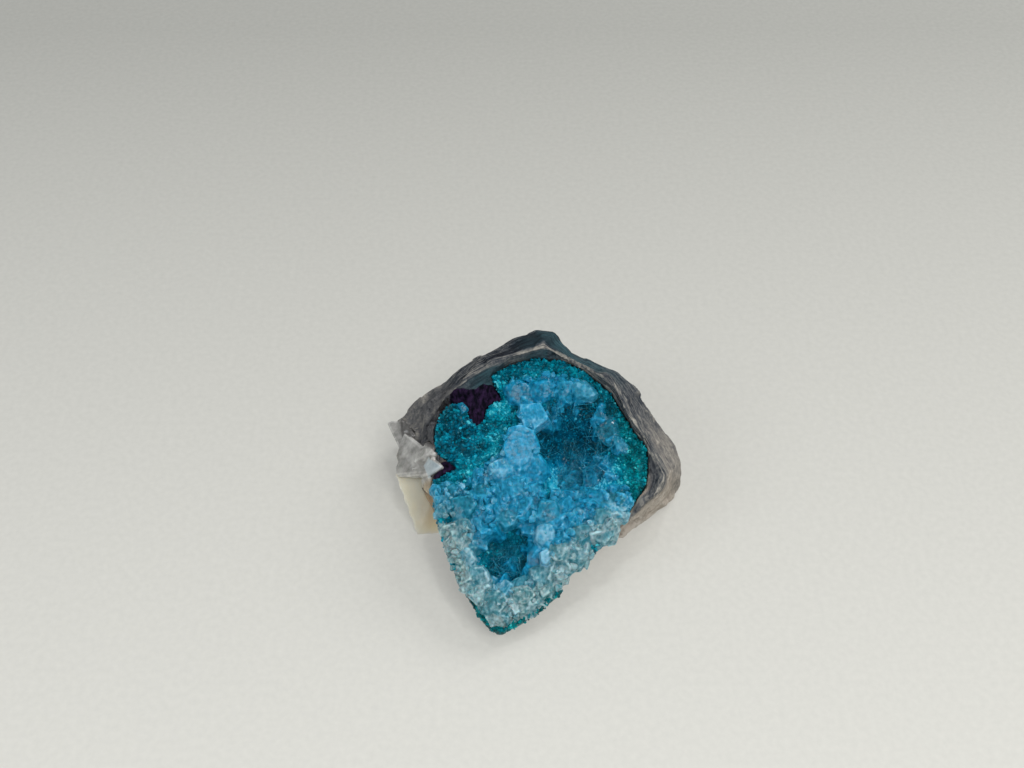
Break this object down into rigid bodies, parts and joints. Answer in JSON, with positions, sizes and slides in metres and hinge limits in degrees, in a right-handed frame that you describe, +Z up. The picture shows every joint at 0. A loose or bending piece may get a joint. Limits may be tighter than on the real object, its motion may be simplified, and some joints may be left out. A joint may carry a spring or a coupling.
{
  "type": "mineral specimen",
  "caption": "Hand-sized mineral specimen: a wedge of streaked host rock whose sloping upper face holds a vug lined with teal dioptase crystals and overgrown with clear quartz.",
  "frame": {"origin": "on the flat base, under the middle of the crystal face", "axes": "+Z up from the flat base, -Y towards the low front tip of the crystal face, +X towards the rock's right flank"},
  "size_m": [0.052, 0.0529, 0.0218],
  "materials": {
    "host_rock": "rough, streaked",
    "dioptase": "sparkling micro-crystals",
    "clear_quartz": "clear to milky crystal",
    "pale_quartz": "translucent, grey",
    "calcite": "satin, cleaved"
  },
  "bodies": {
    "root": {"host_rock": "host_rock", "dioptase_crust": "dioptase", "quartz_druse": "clear_quartz", "pale_quartz_crystals": "pale_quartz", "calcite_slab": "calcite"}
  },
  "joints": []
}
